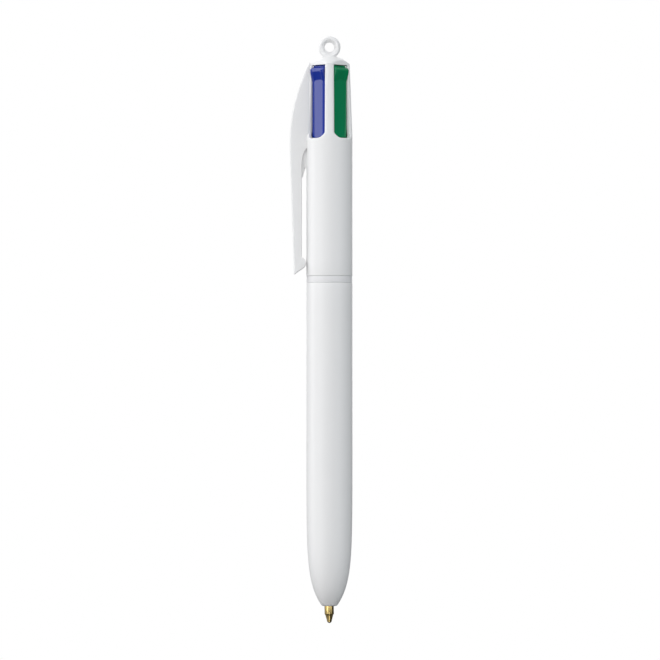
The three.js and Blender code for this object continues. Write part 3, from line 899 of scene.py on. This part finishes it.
def slider(colour):
    """The cap, the leg behind it that runs down between the core's walls, and the stud that its
    spring pushes on and its refill plugs on."""
    station = COLOURS[colour]
    front, leg_from, fin, leg_half, fin_half = 3.4, 1.8, 1.0, 1.05, 0.25
    leg_side = [(front, leg_half, 0.2), (leg_from, leg_half, 0.15), (fin, fin_half, 0.1)]
    leg = rounded(leg_side + [(x, -y, r) for x, y, r in reversed(leg_side)])
    shoulder, pin, pin_end, bevel = 1.75, 0.6, 100.5, 0.12
    foot = SLIDER_FOOT
    stud = [
        (0, pin_end), (pin - 0.15, pin_end), (pin, pin_end + 0.2), (pin, foot),
        (shoulder - bevel, foot), (shoulder, foot + bevel), (shoulder, foot + 1 - bevel),
        (shoulder - bevel, foot + 1), (0, foot + 1),
    ]
    parts = [
        slider_cap(), prism(leg, foot, KNOB["top"] - 0.05),
        turned(revolved(stud, 40, closed=False), 0, (REFILL_R, 0, 0)),
    ]
    drop = -TRAVEL if station["pressed"] else 0
    parts = [turned(part, station["angle"], (0, 0, drop)) for part in parts]
    plastic = moulded(f"{colour}_plastic", station["rgb"], rough=(0.1, 0.14), texture=0.01)
    piece = make(f"{colour}_slider_moulding", parts, plastic, f"{colour}_plastic",
                 [f"slider_{colour}"], sharp=40)
    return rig.ride(piece, f"{colour}_slider")


# ---- Refills ----


def hung(part, station):
    """A refill piece drawn below its pivot, leaned in and hung from its slider."""
    points, faces = part
    lean = LEAN_PRESSED if station["pressed"] else LEAN_UP
    x = points[:, 0] * math.cos(lean) + points[:, 2] * math.sin(lean)
    z = -points[:, 0] * math.sin(lean) + points[:, 2] * math.cos(lean)
    drop = TRAVEL if station["pressed"] else 0
    return turned((np.column_stack([x, points[:, 1], z]), faces), station["angle"],
                  (REFILL_R, 0, REFILL["pivot"] - drop))


def below_pivot(profile):
    """Turns heights above the ball's lowest point into heights from the pivot."""
    return [(r, z - REFILL["length"]) for r, z in profile]


# The brass point from its seat for the ball, up its cone and its barrel to the barbs in the tube, then
# down its bore: (radius, height above the ball's lowest point).
POINT_PROFILE = [
    (0.43, 0.26), (0.46, 0.21), (0.5, 0.22), (0.54, 0.31), (0.58, 0.45), (0.63, 0.66), (0.66, 0.8),
    (0.98, 2.02), (1.02, 2.1), (1.15, 2.26), (1.18, 2.34), (1.18, 5.0), (1.18, 9.0), (1.18, 13.5),
    (1.16, 13.86), (1.1, 13.94), (0.84, 13.94), (0.84, 14.3), (0.88, 14.4), (0.84, 14.5),
    (0.84, 15.2), (0.88, 15.3), (0.84, 15.4), (0.84, 16.8), (0.7, 17.0), (0.3, 17.0), (0.3, 1.25),
    (0.54, 1.0), (0.54, 0.55),
]


def refill_profiles():
    """The outlines of a refill's tube, ink column and ball, as heights above the ball's lowest point."""
    tube_foot, ink_foot, ink_top, ball_r = 14.0, 17.1, 73.1, 0.5
    top = REFILL["length"] + REFILL["top"]
    r, bore, ink = REFILL["tube"], REFILL["bore"], REFILL["bore"] - 0.04
    ends = rounded([(bore, tube_foot, 0.05), (r, tube_foot, 0.1), (r, top, 0.1), (bore, top, 0.05)], 3)
    side = [(r, z) for z in np.linspace(tube_foot + 2, top - 2, 12)]
    tube_outline = np.concatenate([ends[:8], side, ends[8:]])
    column = [
        (0, ink_foot), (ink, ink_foot), *[(ink, z) for z in np.linspace(ink_foot + 1, ink_top - 0.2, 12)],
        (ink - 0.08, ink_top), (0.4, ink_top - 0.25), (0, ink_top - 0.35),
    ]
    turn = np.linspace(-math.pi / 2, math.pi / 2, 17)
    ball = [(ball_r * max(math.cos(a), 0), ball_r + ball_r * math.sin(a)) for a in turn]
    return tube_outline, column, ball


def refill(colour):
    station = COLOURS[colour]
    body = f"{colour}_refill"
    tube_outline, column, ball = refill_profiles()
    paste = ink_paste(f"{colour}_ink", shaded(station["rgb"], 1.3))
    for name, profile, closed, sides, material, slot, node in (
        ("tube", tube_outline, True, 40, TUBE, "tube_plastic", "refill_tube"),
        ("paste", column, False, 28, paste, f"{colour}_ink", "ink"),
        ("writing_point", POINT_PROFILE, True, 64, BRASS, "brass", "point"),
        ("writing_ball", ball, False, 32, BALL, "ball_metal", "ball"),
    ):
        part = hung(revolved(below_pivot(profile), sides, closed), station)
        piece = make(f"{colour}_{name}", [part], material, slot, [f"{node}_{colour}"], sharp=32)
        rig.ride(piece, body)


# ---- The pen ----

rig.ride(lower_barrel(), "lower_body")
for build in (upper_barrel, lanyard_ring, clip_web, threaded_collar, collar_thread, latch_core):
    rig.ride(build(), "upper_body")
clip()
for colour_name in COLOURS:
    slider(colour_name)
    spring(colour_name)
    refill(colour_name)

# ---- Camera, light and floor ----

# The camera looks at PEN_MIDDLE from in front, and its picture is "view" metres wide there.
PEN_MIDDLE = Vector(tuple(world((0.14, 0, 70.03))))
CAMERA = {"lens": 200.0, "sensor": 36.0, "view": 0.16764}


def camera():
    data = bpy.data.cameras.new("camera")
    data.lens, data.sensor_width = CAMERA["lens"], CAMERA["sensor"]
    distance = CAMERA["view"] * CAMERA["lens"] / CAMERA["sensor"]
    data.clip_start, data.clip_end = 0.05, 20
    view = bpy.data.objects.new("camera", data)
    view.location = PEN_MIDDLE + Vector((0, -distance, 0))
    view.rotation_euler = (math.radians(90), 0, 0)
    bpy.context.scene.collection.objects.link(view)
    bpy.context.scene.camera = view


def softbox(name, azimuth, elevation, distance, size, radiance, tint=(1, 1, 1), mirrored=True):
    """A rectangular light that faces the pen. Azimuth 0 is in front; positive is to the pen's right.
    One that isn't mirrored lights the pen but doesn't show in its gloss."""
    data = bpy.data.lights.new(name, "AREA")
    data.shape, (data.size, data.size_y) = "RECTANGLE", size
    data.energy, data.color = radiance * math.pi * size[0] * size[1], tint
    lamp = bpy.data.objects.new(name, data)
    a, e = math.radians(azimuth), math.radians(elevation)
    out = Vector((math.sin(a) * math.cos(e), -math.cos(a) * math.cos(e), math.sin(e)))
    lamp.location = PEN_MIDDLE + out * distance
    lamp.visible_glossy, lamp.visible_camera = mirrored, False
    lamp.rotation_euler = (-out).to_track_quat("-Z", "Y").to_euler()
    bpy.context.scene.collection.objects.link(lamp)


def studio():
    """White all round to the camera, and a dimmer room, brightest above the left, to the pen."""
    brightest, between, dim, bright = (-0.45, -0.15, 0.8), (-0.3, 0.85), 0.06, 0.73
    sky = bpy.data.worlds.new("studio")
    sky.use_nodes = True
    nodes, links = sky.node_tree.nodes, sky.node_tree.links
    room, paper = nodes["Background"], nodes.new("ShaderNodeBackground")
    room.inputs["Color"].default_value = (0.97, 0.98, 1, 1)
    paper.inputs["Color"].default_value = (1, 1, 1, 1)
    way, toward = nodes.new("ShaderNodeTexCoord"), nodes.new("ShaderNodeVectorMath")
    toward.operation = "DOT_PRODUCT"
    toward.inputs[1].default_value = brightest
    glow = nodes.new("ShaderNodeMapRange")
    for socket, value in zip(glow.inputs[1:5], (*between, dim, bright)):
        socket.default_value = value
    links.new(way.outputs["Generated"], toward.inputs[0])
    links.new(toward.outputs["Value"], glow.inputs[0])
    links.new(glow.outputs[0], room.inputs["Strength"])
    seen, mix = nodes.new("ShaderNodeLightPath"), nodes.new("ShaderNodeMixShader")
    links.new(seen.outputs["Is Camera Ray"], mix.inputs["Fac"])
    links.new(room.outputs[0], mix.inputs[1])
    links.new(paper.outputs[0], mix.inputs[2])
    links.new(mix.outputs[0], nodes["World Output"].inputs["Surface"])
    bpy.context.scene.world = sky
    softbox("left_strip", -92, 16, 1.0, (0.42, 1.0), 2.4)
    softbox("left_box", -45, 10, 1.05, (0.7, 1.3), 1.55)
    softbox("front_fill", -2, 9, 1.3, (0.8, 1.1), 1.18)
    softbox("front_low", 0, -35, 1.0, (0.3, 0.4), 1.9)
    softbox("right_strip", 47, 8, 1.05, (0.7, 1.1), 0.85, (0.93, 0.97, 1))
    softbox("right_box", 80, 8, 1.1, (0.6, 1.2), 1.55, (0.92, 0.97, 1), mirrored=False)
    softbox("top_box", -20, 76, 1.0, (0.8, 0.8), 0.3)
    softbox("rim_box", -135, 48, 1.1, (0.6, 0.6), 1.2)
    softbox("back_fill", 178, 22, 1.3, (1.2, 1.2), 1.3)


def floor():
    """A pale round floor that fades out at its rim, below the place where the pulled-off lower
    barrel ends."""
    radius, drop, rings, sides = 0.95, 0.1, 6, 96
    mesh = bpy.data.meshes.new("floor")
    points, faces = revolved([(r, 0) for r in np.linspace(0, radius, rings)], sides, closed=False)
    mesh.from_pydata((points + (AXIS_X, 0, -drop)).tolist(), [], faces)
    plate = bpy.data.objects.new("floor", mesh)
    bpy.context.scene.collection.objects.link(plate)
    n = Nodes("floor_paper")
    n.tint(n.noise(40), (0.88, 0.88, 0.88), (0.9, 0.9, 0.9))
    n.rough(n.noise(500), 0.75, 0.9)
    ball = n.add("ShaderNodeTexGradient", gradient_type="SPHERICAL")
    scaled = n.add("ShaderNodeMapping", Scale=(1 / radius,) * 3, Location=(0, 0, drop / radius))
    n.link(n.place, scaled.inputs["Vector"])
    n.link(scaled.outputs["Vector"], ball.inputs["Vector"])
    fade = n.add("ShaderNodeMapRange", interpolation_type="SMOOTHSTEP")
    fade.inputs[2].default_value = 0.6
    n.link(ball.outputs["Fac"], fade.inputs[0])
    n.link(fade.outputs[0], n.shader.inputs["Alpha"])
    mesh.materials.append(n.material)
    plate.visible_diffuse = plate.visible_glossy = False
    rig.stage(plate)


camera()
studio()
floor()
bpy.context.scene.view_settings.view_transform = "Standard"

size = {"cad": [list(corner) for corner in cad_box], "visual": [list(corner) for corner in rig.bounds()]}
with open("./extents.json", "w") as out:
    json.dump(size, out)
